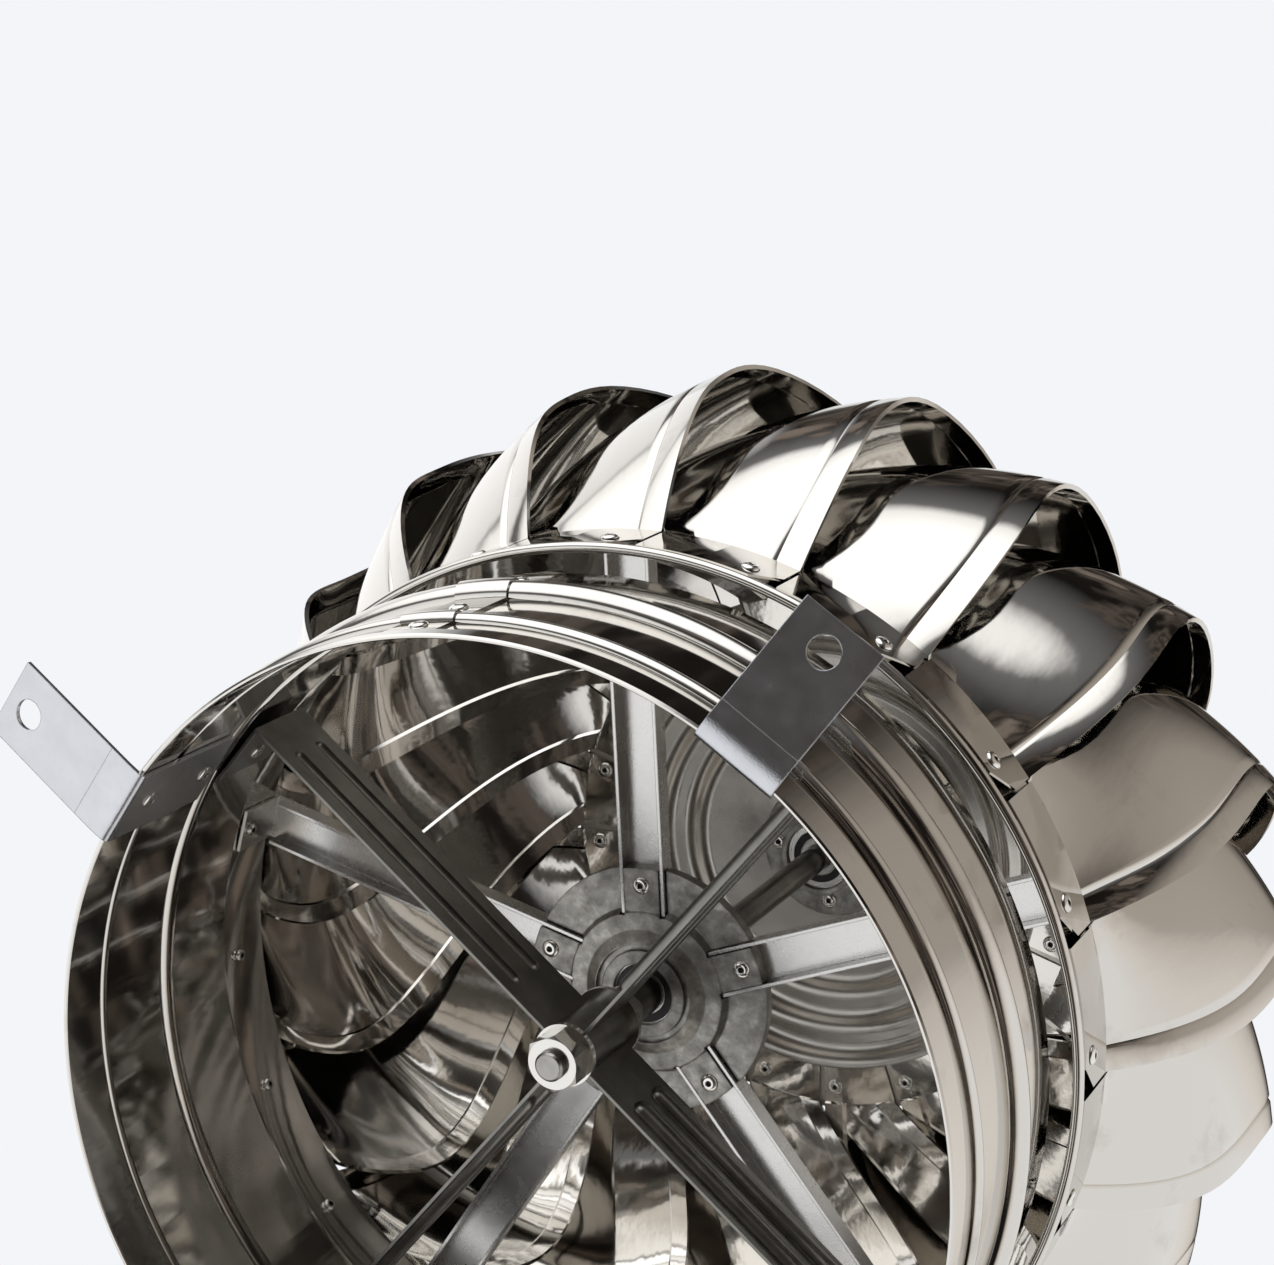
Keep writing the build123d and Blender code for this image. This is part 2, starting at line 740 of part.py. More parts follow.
save("bottom_ring", bottom_ring())
copies("vane", vane(), evenly(vane_count, vane_turn))
save("vane_foot_rivets", vane_foot_rivets())
save("vane_tip_rivets", vane_tip_rivets())
copies("arm", arm(), evenly(arm_count, arm_angle()))
save("hub_rivets", hub_rivets())
save("lower_hub", lower_hub())
save("top_plate", top_plate())
save("top_hub", top_hub())
save("top_hub_rivets", top_hub_rivets())
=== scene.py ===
import math

import bpy
import numpy as np
from mathutils import Matrix, Vector


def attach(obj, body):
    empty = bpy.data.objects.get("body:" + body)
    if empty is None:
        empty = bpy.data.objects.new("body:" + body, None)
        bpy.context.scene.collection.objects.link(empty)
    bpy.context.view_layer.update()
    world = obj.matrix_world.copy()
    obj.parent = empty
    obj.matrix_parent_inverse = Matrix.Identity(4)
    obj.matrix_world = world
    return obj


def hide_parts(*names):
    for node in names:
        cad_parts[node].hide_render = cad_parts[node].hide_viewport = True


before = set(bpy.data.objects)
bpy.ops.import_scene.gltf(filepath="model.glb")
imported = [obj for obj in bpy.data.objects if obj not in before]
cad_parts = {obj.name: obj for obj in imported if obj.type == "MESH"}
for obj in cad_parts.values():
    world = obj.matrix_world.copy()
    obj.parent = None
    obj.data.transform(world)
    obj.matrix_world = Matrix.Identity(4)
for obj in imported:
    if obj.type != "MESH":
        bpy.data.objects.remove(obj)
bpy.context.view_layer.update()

# ---- View ---------------------------------------------------------------------------
# A long lens looks up into the throat from below, with the shaft leaning away to the
# upper right. Places are metres in the ventilator's own frame.
camera_place = Vector((-0.12142, 0.50513, -0.70320))
camera_right = Vector((-0.75077, 0.50667, 0.42382))
camera_up = Vector((0.62739, 0.74770, 0.21754))
lens_mm = 80.638
sensor_mm = 36.0

lens = bpy.data.cameras.new("camera")
lens.lens = lens_mm
lens.sensor_width = sensor_mm
lens.clip_start = 0.01
camera = bpy.data.objects.new("camera", lens)
camera_turn = Matrix((camera_right, camera_up, camera_right.cross(camera_up))).transposed()
camera.matrix_world = Matrix.Translation(camera_place) @ camera_turn.to_4x4()
bpy.context.scene.collection.objects.link(camera)
bpy.context.scene.camera = camera
bpy.context.scene.view_settings.view_transform = "Standard"

# ---- Studio -------------------------------------------------------------------------
# Polished sheet shows its room, so the room is what lights it: a white ceiling, two
# windows on the left, warm boards on the right and below, a bright wall beyond the
# ventilator, and a dim cluttered half behind the camera.
backdrop_colour = "F3F5F9"
clutter_scale = 3.2


def linear(code):
    """sRGB hex colour as linear RGBA."""
    parts = [int(code[i:i + 2], 16) / 255 for i in (0, 2, 4)]
    return [p / 12.92 if p <= 0.04045 else ((p + 0.055) / 1.055) ** 2.4 for p in parts] + [1.0]


def add(tree, kind, settings=None, **links):
    """Adds a node, sets its properties or sockets, and links sockets to other outputs."""
    node = tree.nodes.new(kind)
    for name, value in (settings or {}).items():
        if isinstance(name, int) or name in node.inputs:
            node.inputs[name].default_value = value
        else:
            setattr(node, name, value)
    for name, source in links.items():
        key = int(name[1:]) if name[0] == "n" and name[1:].isdigit() else name.replace("_", " ")
        tree.links.new(source, node.inputs[key])
    return node


def ramp(tree, source, *stops):
    """Colour ramp on a value, from (position, grey or hex) stops."""
    node = add(tree, "ShaderNodeValToRGB", Fac=source)
    for place, shade in stops[2:]:
        node.color_ramp.elements.new(place)
    for element, (place, shade) in zip(node.color_ramp.elements, stops):
        element.position = place
        element.color = linear(shade) if isinstance(shade, str) else (shade, shade, shade, 1)
    return node.outputs["Color"]


def toward(tree, rays, aim):
    """How far each ray points toward an aim, from 0 to 1."""
    dot = add(tree, "ShaderNodeVectorMath", {"operation": "DOT_PRODUCT", 1: aim.normalized()}, n0=rays)
    scaled = add(tree, "ShaderNodeMath", {"operation": "MULTIPLY_ADD", 1: 0.5, 2: 0.5},
                 n0=dot.outputs["Value"])
    return scaled.outputs[0]


def blend(tree, mode, first, second, share=1.0):
    """Two colours blended."""
    node = add(tree, "ShaderNodeMix", {"data_type": "RGBA", "blend_type": mode, 0: share})
    tree.links.new(first, node.inputs[6])
    tree.links.new(second, node.inputs[7])
    return node.outputs[2]


def heading(right, up, away):
    """Direction in the room, as seen from the camera."""
    return right * camera_right + up * camera_up - away * camera_turn.col[2]


world = bpy.data.worlds.new("studio")
world.use_nodes = True
bpy.context.scene.world = world
tree = world.node_tree
tree.nodes.clear()
rays = add(tree, "ShaderNodeTexCoord").outputs["Generated"]
uneven = add(tree, "ShaderNodeTexNoise", {"Scale": clutter_scale, "Detail": 3.0, "Roughness": 0.6},
             Vector=rays)
room = ramp(tree, uneven.outputs["Fac"], (0.0, "0C0B0A"), (0.45, "1F1C1A"), (0.52, "5F5750"),
            (0.57, "2A2623"), (0.65, "8B8077"), (1.0, "3A3531"))
# Where each light is, then how its brightness grows as a ray points nearer to it.
ceiling = (heading(-0.31, 0.93, -0.15), (0.73, 0.0), (0.862, 0.2), (0.89, 1.3), (0.95, 1.8))
tall_window = (heading(-0.62, 0.22, 0.75), (0.90, 0.0), (0.93, 1.1), (1.0, 1.3))
low_window = (heading(-0.86, -0.32, -0.40), (0.89, 0.0), (0.93, 1.0), (1.0, 1.25))
far_wall = (heading(0.0, 0.0, 1.0), (0.965, 0.0), (0.975, 0.8), (1.0, 0.9))
boards = (heading(0.97, -0.05, 0.0), (0.76, 0.0), (0.84, "AAA299"), (1.0, "C8C0B8"))
floor_boards = (heading(0.75, -0.66, 0.0), (0.70, 0.0), (0.77, "D8D1C9"), (0.82, "F3EEE8"), (0.88, 1.0))
for aim, *stops in (ceiling, tall_window, low_window, far_wall, boards, floor_boards):
    room = blend(tree, "LIGHTEN", room, ramp(tree, toward(tree, rays, aim), (0.0, 0.0), *stops))
lit = add(tree, "ShaderNodeBackground", {"Strength": 1.0}, Color=room)
seen = add(tree, "ShaderNodeBackground", {"Color": linear(backdrop_colour), "Strength": 1.0})
path = add(tree, "ShaderNodeLightPath")
mixed = add(tree, "ShaderNodeMixShader", n0=path.outputs["Is Camera Ray"], n1=lit.outputs[0],
            n2=seen.outputs[0])
add(tree, "ShaderNodeOutputWorld", Surface=mixed.outputs[0])

# ---- Throat collar ------------------------------------------------------------------
# Rolled from mirror-polished stainless sheet 0.8 mm thick, hemmed outward at the rim,
# swaged with a small and a large bead, and closed by a riveted lap seam.
mm = 0.001
sheet = 0.8
rim = 1.5
throat_radius = 150.0
collar_top = rim + 92.0
rim_hem = 6.0
rim_round = 0.4
beads = ((rim + 20.0, 1.9), (rim + 56.5, 4.2))
seam_angle = 47.0
seam_lap = 18.0
collar_facets = 360
lap_facets = 12
bead_facets = 12

# Marks in the sheet, in millimetres: so many of them to the metre. The rolls leave a
# shallow wobble and upright streaks, and hands leave the smears.
wobble_length = 1000 / 14
streak_width = 1000 / 150
streak_length = 1000 / 14
smear_size = 1000 / 35


def polar(radius, angle, z=0.0):
    return Vector((radius * math.cos(math.radians(angle)), radius * math.sin(math.radians(angle)), z))


def rounded(points, radius, steps=4):
    """Open (radius, height) line with its corners rounded."""
    line = [Vector(points[0])]
    for before, corner, after in zip(points, points[1:], points[2:]):
        corner, back, ahead = Vector(corner), Vector(before) - Vector(corner), Vector(after) - Vector(corner)
        reach = min(radius, back.length * 0.45, ahead.length * 0.45)
        start, end = corner + back.normalized() * reach, corner + ahead.normalized() * reach
        for step in range(steps + 1):
            t = step / steps
            line.append(start * (1 - t) ** 2 + corner * 2 * t * (1 - t) + end * t ** 2)
    return line + [Vector(points[-1])]


def thickened(line, thickness):
    """Closed outline of a sheet: the line, and the line moved to its right-hand side."""
    moved = []
    for index, point in enumerate(line):
        ahead = line[min(index + 1, len(line) - 1)] - line[max(index - 1, 0)]
        side = Vector((ahead.y, -ahead.x)).normalized()
        moved.append(point + side * thickness)
    return line + moved[::-1]


def shaped(name, points, faces, material, body, slot_name, angle=35):
    """Object from points in millimetres, smooth except at edges sharper than the angle."""
    mesh = bpy.data.meshes.new(name)
    mesh.from_pydata([Vector(p) * mm for p in points], [], faces)
    mesh.validate()
    mesh.shade_smooth()
    mesh.set_sharp_from_angle(angle=math.radians(angle))
    mesh.materials.append(material)
    piece = bpy.data.objects.new(name, mesh)
    bpy.context.scene.collection.objects.link(piece)
    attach(piece, body)
    return piece


def spun(outline, steps, start=0.0, sweep=360.0):
    """Points and faces of a closed (radius, height) outline turned about the shaft."""
    whole = sweep >= 360.0
    rings = steps if whole else steps + 1
    size = len(outline)
    points = [polar(p[0], start + sweep * ring / steps, p[1]) for ring in range(rings) for p in outline]
    faces = []
    for ring in range(steps):
        after = (ring + 1) % rings
        for index in range(size):
            following = (index + 1) % size
            faces.append((ring * size + index, after * size + index, after * size + following,
                          ring * size + following))
    if not whole:
        faces.append(tuple(range(size)))
        faces.append(tuple(reversed(range(steps * size, rings * size))))
    return points, faces


def beaded(radius, grow, low, high):
    """Upright line that runs outward round the beads, which grow with the radius."""
    line = [(radius, low)]
    for middle, size in beads:
        reach = size + grow
        if middle - reach < low:
            continue
        line.append((radius, middle - reach - 1))
        for step in range(bead_facets + 1):
            turn_angle = math.pi * (step / bead_facets - 0.5)
            line.append((radius + reach * math.cos(turn_angle), middle + reach * math.sin(turn_angle)))
        line.append((radius, middle + reach + 1))
    line.append((radius, high))
    return [Vector(p) for p in line]


def noise_scale(size):
    """Scale of a noise whose lumps are this many millimetres across."""
    return 1 / (size * mm)


def polished_stainless(name, tint="D3D0CB", roughness=0.06):
    """Bright rolled stainless: rolling wobble bends its reflections, fine scratches soften them."""
    material = bpy.data.materials.new(name)
    material.use_nodes = True
    tree = material.node_tree
    tree.nodes.clear()
    place = add(tree, "ShaderNodeTexCoord").outputs["Object"]
    streak_box = (streak_width, streak_width, streak_length)
    upright = add(tree, "ShaderNodeMapping", {"Scale": [noise_scale(size) for size in streak_box]},
                  Vector=place)
    wobble = add(tree, "ShaderNodeTexNoise",
                 {"Scale": noise_scale(wobble_length), "Detail": 1.0, "Roughness": 0.3}, Vector=place)
    streak = add(tree, "ShaderNodeTexNoise", {"Scale": 1.0, "Detail": 2.0}, Vector=upright.outputs[0])
    smear = add(tree, "ShaderNodeTexNoise",
                {"Scale": noise_scale(smear_size), "Detail": 5.0, "Roughness": 0.6}, Vector=place)
    rough = add(tree, "ShaderNodeMapRange", {"To Min": roughness * 0.4, "To Max": roughness * 1.8},
                Value=smear.outputs["Fac"])
    grime = ramp(tree, smear.outputs["Fac"], (0.0, "A39C94"), (0.42, tint), (1.0, tint))
    wide = add(tree, "ShaderNodeBump", {"Strength": 0.3, "Distance": 4.0 * mm},
               Height=wobble.outputs["Fac"])
    fine = add(tree, "ShaderNodeBump", {"Strength": 0.08, "Distance": 0.5 * mm},
               Height=streak.outputs["Fac"], Normal=wide.outputs[0])
    steel = add(tree, "ShaderNodeBsdfPrincipled", {"Metallic": 1.0}, Base_Color=grime,
                Roughness=rough.outputs[0], Normal=fine.outputs[0])
    add(tree, "ShaderNodeOutputMaterial", Surface=steel.outputs[0])
    return material


stainless = polished_stainless("polished stainless sheet")
inner = beaded(throat_radius, 0.0, rim + rim_round, collar_top)
outer = beaded(throat_radius + sheet, sheet, rim + rim_hem, collar_top)
hem_line = [Vector((throat_radius + across * sheet, rim + height))
            for across, height in ((2, rim_hem), (2, 0.5), (1.2, 0), (0.4, 0))]
collar = shaped("collar_sheet", *spun(inner + outer[::-1] + hem_line, collar_facets), stainless, "base",
                "polished_stainless")
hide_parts("throat_collar")

lap_line = beaded(throat_radius + sheet, sheet, rim + rim_hem, collar_top)
lap_sweep = math.degrees(seam_lap / throat_radius)
shaped("collar_lap", *spun(thickened(lap_line, sheet), lap_facets, seam_angle - lap_sweep / 2, lap_sweep),
       stainless, "base", "polished_stainless")

# ---- Throat seam rivets -------------------------------------------------------------
# Blind rivets of plated steel: a domed head with the mouth of the mandrel's bore painted near-black
# as painted shade, and a swollen hollow tail behind the sheets whose hollow has the same painted
# shade. Both lines are (radius, height) of one half.
rivet_line = ((0.02, 0.2), (0.85, 0.2), (0.95, 0.95), (1.25, 1.08), (2.0, 0.98), (2.75, 0.62), (3.2, 0.12),
              (3.2, 0.0), (1.6, 0.0))
tail_line = ((1.6, 0.0), (2.1, -0.1), (2.2, -0.6), (2.0, -1.2), (1.6, -1.45), (1.0, -1.45), (0.9, -0.6),
             (0.02, -0.6))
seam_rivet_heights = (12.0, 37.0, 77.0)
rivet_facets = 20
grip_slack = 0.05
dust_size = 2.5


def plain(name, code, roughness, metallic=0.0):
    """Plain finish: near-black painted shade for bore mouths, and the own colour of seals and other small
    dark surfaces.
    """
    material = bpy.data.materials.new(name)
    material.use_nodes = True
    tree = material.node_tree
    tree.nodes.clear()
    place = add(tree, "ShaderNodeTexCoord").outputs["Object"]
    dust = add(tree, "ShaderNodeTexNoise", {"Scale": noise_scale(dust_size), "Detail": 4.0}, Vector=place)
    rough = add(tree, "ShaderNodeMapRange", {"To Min": roughness * 0.8, "To Max": roughness * 1.2},
                Value=dust.outputs["Fac"])
    surface = add(tree, "ShaderNodeBsdfPrincipled", {"Base Color": linear(code), "Metallic": metallic},
                  Roughness=rough.outputs[0])
    add(tree, "ShaderNodeOutputMaterial", Surface=surface.outputs[0])
    return material


# Zinc plating over steel, a little whiter and softer than the sheet.
plated = polished_stainless("plated steel", "E2E0DC", 0.10)
# Near-black painted shade in the rivets' bore mouths and hollow tails.
bore_painted_shade = plain("rivet bore painted shade", "0C0B0A", 0.6)


def facing(point, outward):
    """Placement whose local Z points outward."""
    return Matrix.Translation(point) @ Vector(outward).to_track_quat("Z", "Y").to_matrix().to_4x4()


def rivet_set(node, places, grips, body):
    """All rivets of one CAD node, as one mesh."""
    points, faces, dark = [], [], []
    for place, grip in zip(places, grips):
        outline = list(rivet_line) + [(r, z - grip) for r, z in tail_line]
        ring, quads = spun(outline, rivet_facets)
        start = len(points)
        points += [place @ p for p in ring]
        for index, quad in enumerate(quads):
            # Faces in the bore's mouth and inside the tail's hollow get the painted shade.
            step = index % len(outline)
            dark.append(step < 2 or step >= len(outline) - 3)
            faces.append([start + corner for corner in quad])
    piece = shaped(f"{node}_domed", points, faces, plated, body, "fastener_steel", 60)
    piece.data.materials.append(bore_painted_shade)
    for polygon, is_dark in zip(piece.data.polygons, dark):
        polygon.material_index = 1 if is_dark else 0
    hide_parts(node)


places = [facing(polar(throat_radius + 2 * sheet, seam_angle, rim + height), polar(1, seam_angle))
          for height in seam_rivet_heights]
rivet_set("throat_seam_rivets", places, [2 * sheet + grip_slack] * len(places), "base")

# ---- Fixing tabs --------------------------------------------------------------------
# Galvanised steel strip, 28 x 1.5 mm, bent round the rim and riveted inside the throat.
tab_width = 28.0
tab_thickness = 1.5
tab_leg = 50.0
tab_foot = 3.5
seat_gap = 0.15
tab_bend = throat_radius + sheet + tab_foot
tab_bend_radius = 4.0
tab_shapes = ((6.0, 52.7), (24.0, 49.0), (6.0, 52.7), (24.0, 49.0))
tab_hole_radius = 5.0
tab_hole_inset = 9.6
tab_hole_facets = 48
tab_rivet_heights = (12.0, 43.0)
tab_back = math.sqrt(throat_radius ** 2 - (tab_width / 2) ** 2) - seat_gap

# Zinc crystals about 8 mm across. The grain between them is finer than 0.1 mm on the
# strip, and is drawn at about 0.6 mm so that it shows.
spangle_size = 1000 / 120
grain_size = 1000 / 1800


def galvanised(name, light, dark, roughness):
    """Zinc-coated strip: soft spangle, a fine grain that dulls it, and rubbed edges."""
    material = bpy.data.materials.new(name)
    material.use_nodes = True
    tree = material.node_tree
    tree.nodes.clear()
    place = add(tree, "ShaderNodeTexCoord").outputs["Object"]
    spangle = add(tree, "ShaderNodeTexNoise",
                  {"Scale": noise_scale(spangle_size), "Detail": 3.0, "Roughness": 0.55}, Vector=place)
    grain = add(tree, "ShaderNodeTexNoise", {"Scale": noise_scale(grain_size), "Detail": 2.0}, Vector=place)
    colour = ramp(tree, spangle.outputs["Fac"], (0.30, dark), (0.70, light))
    rough = add(tree, "ShaderNodeMapRange", {"To Min": roughness * 0.8, "To Max": roughness * 1.25},
                Value=spangle.outputs["Fac"])
    edge = add(tree, "ShaderNodeBevel", {"samples": 4, "Radius": 0.5 * mm})
    bump = add(tree, "ShaderNodeBump", {"Strength": 0.25, "Distance": 0.2 * mm},
               Height=grain.outputs["Fac"], Normal=edge.outputs[0])
    zinc = add(tree, "ShaderNodeBsdfPrincipled", {"Metallic": 1.0}, Base_Color=colour,
               Roughness=rough.outputs[0], Normal=bump.outputs[0])
    add(tree, "ShaderNodeOutputMaterial", Surface=zinc.outputs[0])
    return material


def tab_mesh(slope, reach):
    """Bent leg, and an outer leg whose faces run from the hole's edge to the outline."""
    run = Vector((math.cos(math.radians(slope)), math.sin(math.radians(slope))))
    up = Vector((-run.y, run.x)) * tab_thickness
    bend, half = Vector((tab_bend, 0.0)), tab_width / 2
    split = 2 * tab_bend_radius
    length = reach - tab_foot - split
    path = rounded([bend + run * split, bend, (tab_back - tab_thickness, 0),
                    (tab_back - tab_thickness, rim + tab_leg)], tab_bend_radius, 6)
    outline = thickened(path, tab_thickness)
    size, points, faces = len(path), [], []
    for side in (-half, half):
        points += [Vector((p[0], side, p[1])) for p in outline]
    total = len(outline)
    faces += [(i, i + 1, total + i + 1, total + i) for i in range(total - 1)]
    for i in range(size - 1):
        j = total - 1 - i
        faces.append((i, j, j - 1, i + 1))
        faces.append((total + i + 1, total + j - 1, total + j, total + i))
    centre, start, joined = length - tab_hole_inset, len(points), []
    angles = [math.tau * k / tab_hole_facets for k in range(tab_hole_facets)]
    angles += [math.atan2(v, u - centre) % math.tau for u in (0, length) for v in (-half, half)]
    angles.sort()
    for angle in angles:
        c, s = math.cos(angle), math.sin(angle)
        ahead = length - centre if c > 0 else centre
        far = min(ahead / max(abs(c), 1e-9), half / max(abs(s), 1e-9))
        joined.append(centre + far * c < 0.001)
        for radius in (tab_hole_radius, far):
            spot = bend + run * (split + centre + radius * c)
            points.append(Vector((spot.x, radius * s, spot.y)))
            points.append(Vector((spot.x + up.x, radius * s, spot.y + up.y)))
    for k in range(len(angles)):
        a, b = start + 4 * k, start + 4 * ((k + 1) % len(angles))
        faces += [(a, a + 2, b + 2, b), (a + 1, b + 1, b + 3, a + 3), (a, b, b + 1, a + 1)]
        if not (joined[k] and joined[(k + 1) % len(angles)]):
            faces.append((a + 2, a + 3, b + 3, b + 2))
    return points, faces


# Smooth zinc that mirrors dimly: nearly black toward the dark half of the room.
strip = galvanised("galvanised strip", "CBCDD2", "C2C4C9", 0.24)
for number, (slope, reach) in enumerate(tab_shapes):
    points, faces = tab_mesh(slope, reach)
    spin = Matrix.Rotation(math.radians(90 * number), 3, "Z")
    tab = shaped(f"tab_strip_{number + 1}", [spin @ p for p in points], faces, strip, "base",
                 "galvanised_strip", 40)
    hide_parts(f"fixing_tab_{number + 1}")
places = [facing(polar(tab_back - tab_thickness, angle, rim + height), polar(-1, angle))
          for angle in (0, 90, 180, 270) for height in tab_rivet_heights]
grip = throat_radius + sheet - tab_back + tab_thickness
rivet_set("fixing_tab_rivets", places, [grip] * len(places), "base")

# ---- Cross brace --------------------------------------------------------------------
# Four strips on edge with two pressed ribs each, welded to a tube round the shaft and
# riveted to the collar. The zinc is duller than the tabs', with rubbed bright edges.
brace_turn = 5.5
brace_strip = 1.2
brace_low = 61.0
brace_depth = 29.0
brace_foot_side = 24.0
brace_rivet_side = 15.0
brace_grip_side = 12.8
brace_end = math.sqrt(throat_radius ** 2 - brace_foot_side ** 2) - seat_gap
brace_middle = rim + brace_low + brace_depth / 2


def finish(material, *nodes):
    """Gives CAD nodes their finish."""
    for node in nodes:
        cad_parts[node].data.materials.clear()
        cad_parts[node].data.materials.append(material)


brace_zinc = galvanised("dull galvanised strip", "8E8D89", "7B7A76", 0.3)
finish(brace_zinc, "brace_hub_tube", *[f"brace_arm_{number}" for number in range(1, 5)])
collar_back = math.sqrt((throat_radius + sheet) ** 2 - brace_grip_side ** 2)
grip = collar_back - brace_end + brace_strip + grip_slack
places = []
for angle in (0, 90, 180, 270):
    spin = Matrix.Rotation(math.radians(angle + brace_turn), 4, "Z")
    head = Vector((brace_end - brace_strip, -brace_rivet_side, brace_middle))
    places.append(spin @ facing(head, (-1, 0, 0)))
rivet_set("brace_rivets", places, [grip] * len(places), "base")

# ---- Shaft, nuts and washers --------------------------------------------------------
# Drawn 10 mm steel shaft, with plated M10 nuts and washers that clamp the brace.
nut_steel = polished_stainless("plated nuts", "D9D7D3", 0.14)
shaft_steel = galvanised("drawn steel", "A8A6A2", "8F8D89", 0.22)
finish(nut_steel, "shaft_end_nut", "shaft_lock_nut", "shaft_top_nut", "shaft_washers")
finish(shaft_steel, "shaft", "shaft_spacer", "shaft_clips")

# ---- Bearings -----------------------------------------------------------------------
# Two deep-groove ball bearings with ground rings and black seals.
ground_steel = galvanised("ground bearing steel", "C4C2BE", "B4B2AE", 0.16)
finish(ground_steel, *[f"{side}_bearing_{part}" for side in ("lower", "upper")
                       for part in ("inner_ring", "outer_ring", "balls")])
finish(plain("black seal", "141312", 0.45), "bearing_seals")

# ---- Bottom ring --------------------------------------------------------------------
# Rolled band of the same sheet that carries the vanes, with its lower edge curled.
ring_radius = 157.0
ring_low = rim + 98.0
ring_top = ring_low + 29.0
curl = 1.8
curl_facets = 14
ring_facets = 360
ring_line = [Vector((ring_radius, ring_top)), Vector((ring_radius, ring_low + 2 * curl + 1))]
for step in range(curl_facets + 1):
    turn_angle = math.pi * (0.75 + 1.6 * step / curl_facets)
    ring_line.append(Vector((ring_radius + sheet + curl * math.cos(turn_angle),
                             ring_low + curl + curl * math.sin(turn_angle))))
ring_line += [Vector((ring_radius + sheet, ring_low + 2 * curl + 1)), Vector((ring_radius + sheet, ring_top))]
ring = shaped("bottom_ring_sheet", *spun(ring_line, ring_facets), stainless, "turbine", "polished_stainless")
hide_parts("bottom_ring")

# ---- Vanes --------------------------------------------------------------------------
# Twenty scoops cut from stainless sheet and stretched to shape. The long edges are
# folded flat, the foot is bent to the ring and the tip to the top plate.
vane_count = 20
vane_turn = 57.1
foot_gap = 0.3
foot_radius = ring_radius + sheet + foot_gap
foot_span = 0.975 * 360 / vane_count
tip_span = 0.92 * 360 / vane_count
foot_overlap = 23.0
foot_chamfer = 9.0
tip_radius = 103.0
tip_flange = 15.0
tip_turn = 15.0
plate_height = 284.8
tip_z = rim + plate_height - seat_gap - sheet
flange_bend = 0.6
hem = 7.5
hem_fold = 0.9
crease = 0.6
edge_rows = 44
vane_columns = 26


def smooth_line(points, count):
    """Cubic line with even curvature through points, spaced by chord length, sampled evenly."""
    spots = np.array(points, dtype=float)
    steps = np.linalg.norm(np.diff(spots, axis=0), axis=1)
    knots = np.concatenate([[0.0], np.cumsum(steps)])
    secants = np.diff(spots, axis=0) / steps[:, None]
    size = len(spots)
    matrix, wanted = np.eye(size), np.zeros_like(spots)
    wanted[0] = secants[0] + (secants[0] - secants[1]) * steps[0] / (steps[0] + steps[1])
    wanted[-1] = secants[-1] + (secants[-1] - secants[-2]) * steps[-1] / (steps[-1] + steps[-2])
    for i in range(1, size - 1):
        before, after = steps[i - 1], steps[i]
        matrix[i, i - 1:i + 2] = after, 2 * (before + after), before
        wanted[i] = 3 * (after * secants[i - 1] + before * secants[i])
    slopes = np.linalg.solve(matrix, wanted)
    line = []
    for along in np.linspace(0, knots[-1], count):
        i = min(int(np.searchsorted(knots, along, side="right")) - 1, size - 2)
        h = steps[i]
        t = (along - knots[i]) / h
        near = spots[i] * (2 * t ** 3 - 3 * t ** 2 + 1) + slopes[i] * h * (t ** 3 - 2 * t ** 2 + t)
        far = spots[i + 1] * (3 * t ** 2 - 2 * t ** 3) + slopes[i + 1] * h * (t ** 3 - t ** 2)
        line.append(Vector(near + far))
    return line


def edge_line(first, last, *stations):
    """Edge of the sheet in (radius, turn, height): swell beyond the foot, turn, share of the rise."""
    rise = tip_z - ring_top
    middle = [(foot_radius + swell, turn, ring_top + share * rise) for swell, turn, share in stations]
    return smooth_line([first, *middle, last], edge_rows)


leading = edge_line((foot_radius, 0, ring_top), (tip_radius, tip_turn, tip_z), (35.7, -2.2, 0.28),
                    (40.6, -3.6, 0.5), (38.5, -2.1, 0.7), (9.6, 8.4, 0.895))
trailing = edge_line((foot_radius, -foot_span, ring_top), (tip_radius, tip_turn - tip_span, tip_z),
                     (7, -24, 0.235), (10, -27, 0.49), (1, -24, 0.71))


def vane_rows():
    """Pairs of edge points, from the foot flange's lower edge to the tip flange's end."""
    low = ring_top - foot_overlap
    cut = math.degrees(foot_chamfer / foot_radius)
    rows = []
    flange = ((0, cut), (foot_chamfer, 0), (foot_chamfer + 0.5, 0), (foot_overlap - flange_bend, 0))
    for height, inset in flange:
        rows.append((Vector((foot_radius, -inset, low + height)),
                     Vector((foot_radius, -foot_span, low + height))))
    rows += list(zip(leading, trailing))
    for inward in (flange_bend, tip_flange / 2, tip_flange):
        rows.append((Vector((tip_radius - inward, tip_turn, tip_z)),
                     Vector((tip_radius - inward, tip_turn - tip_span, tip_z))))
    return rows


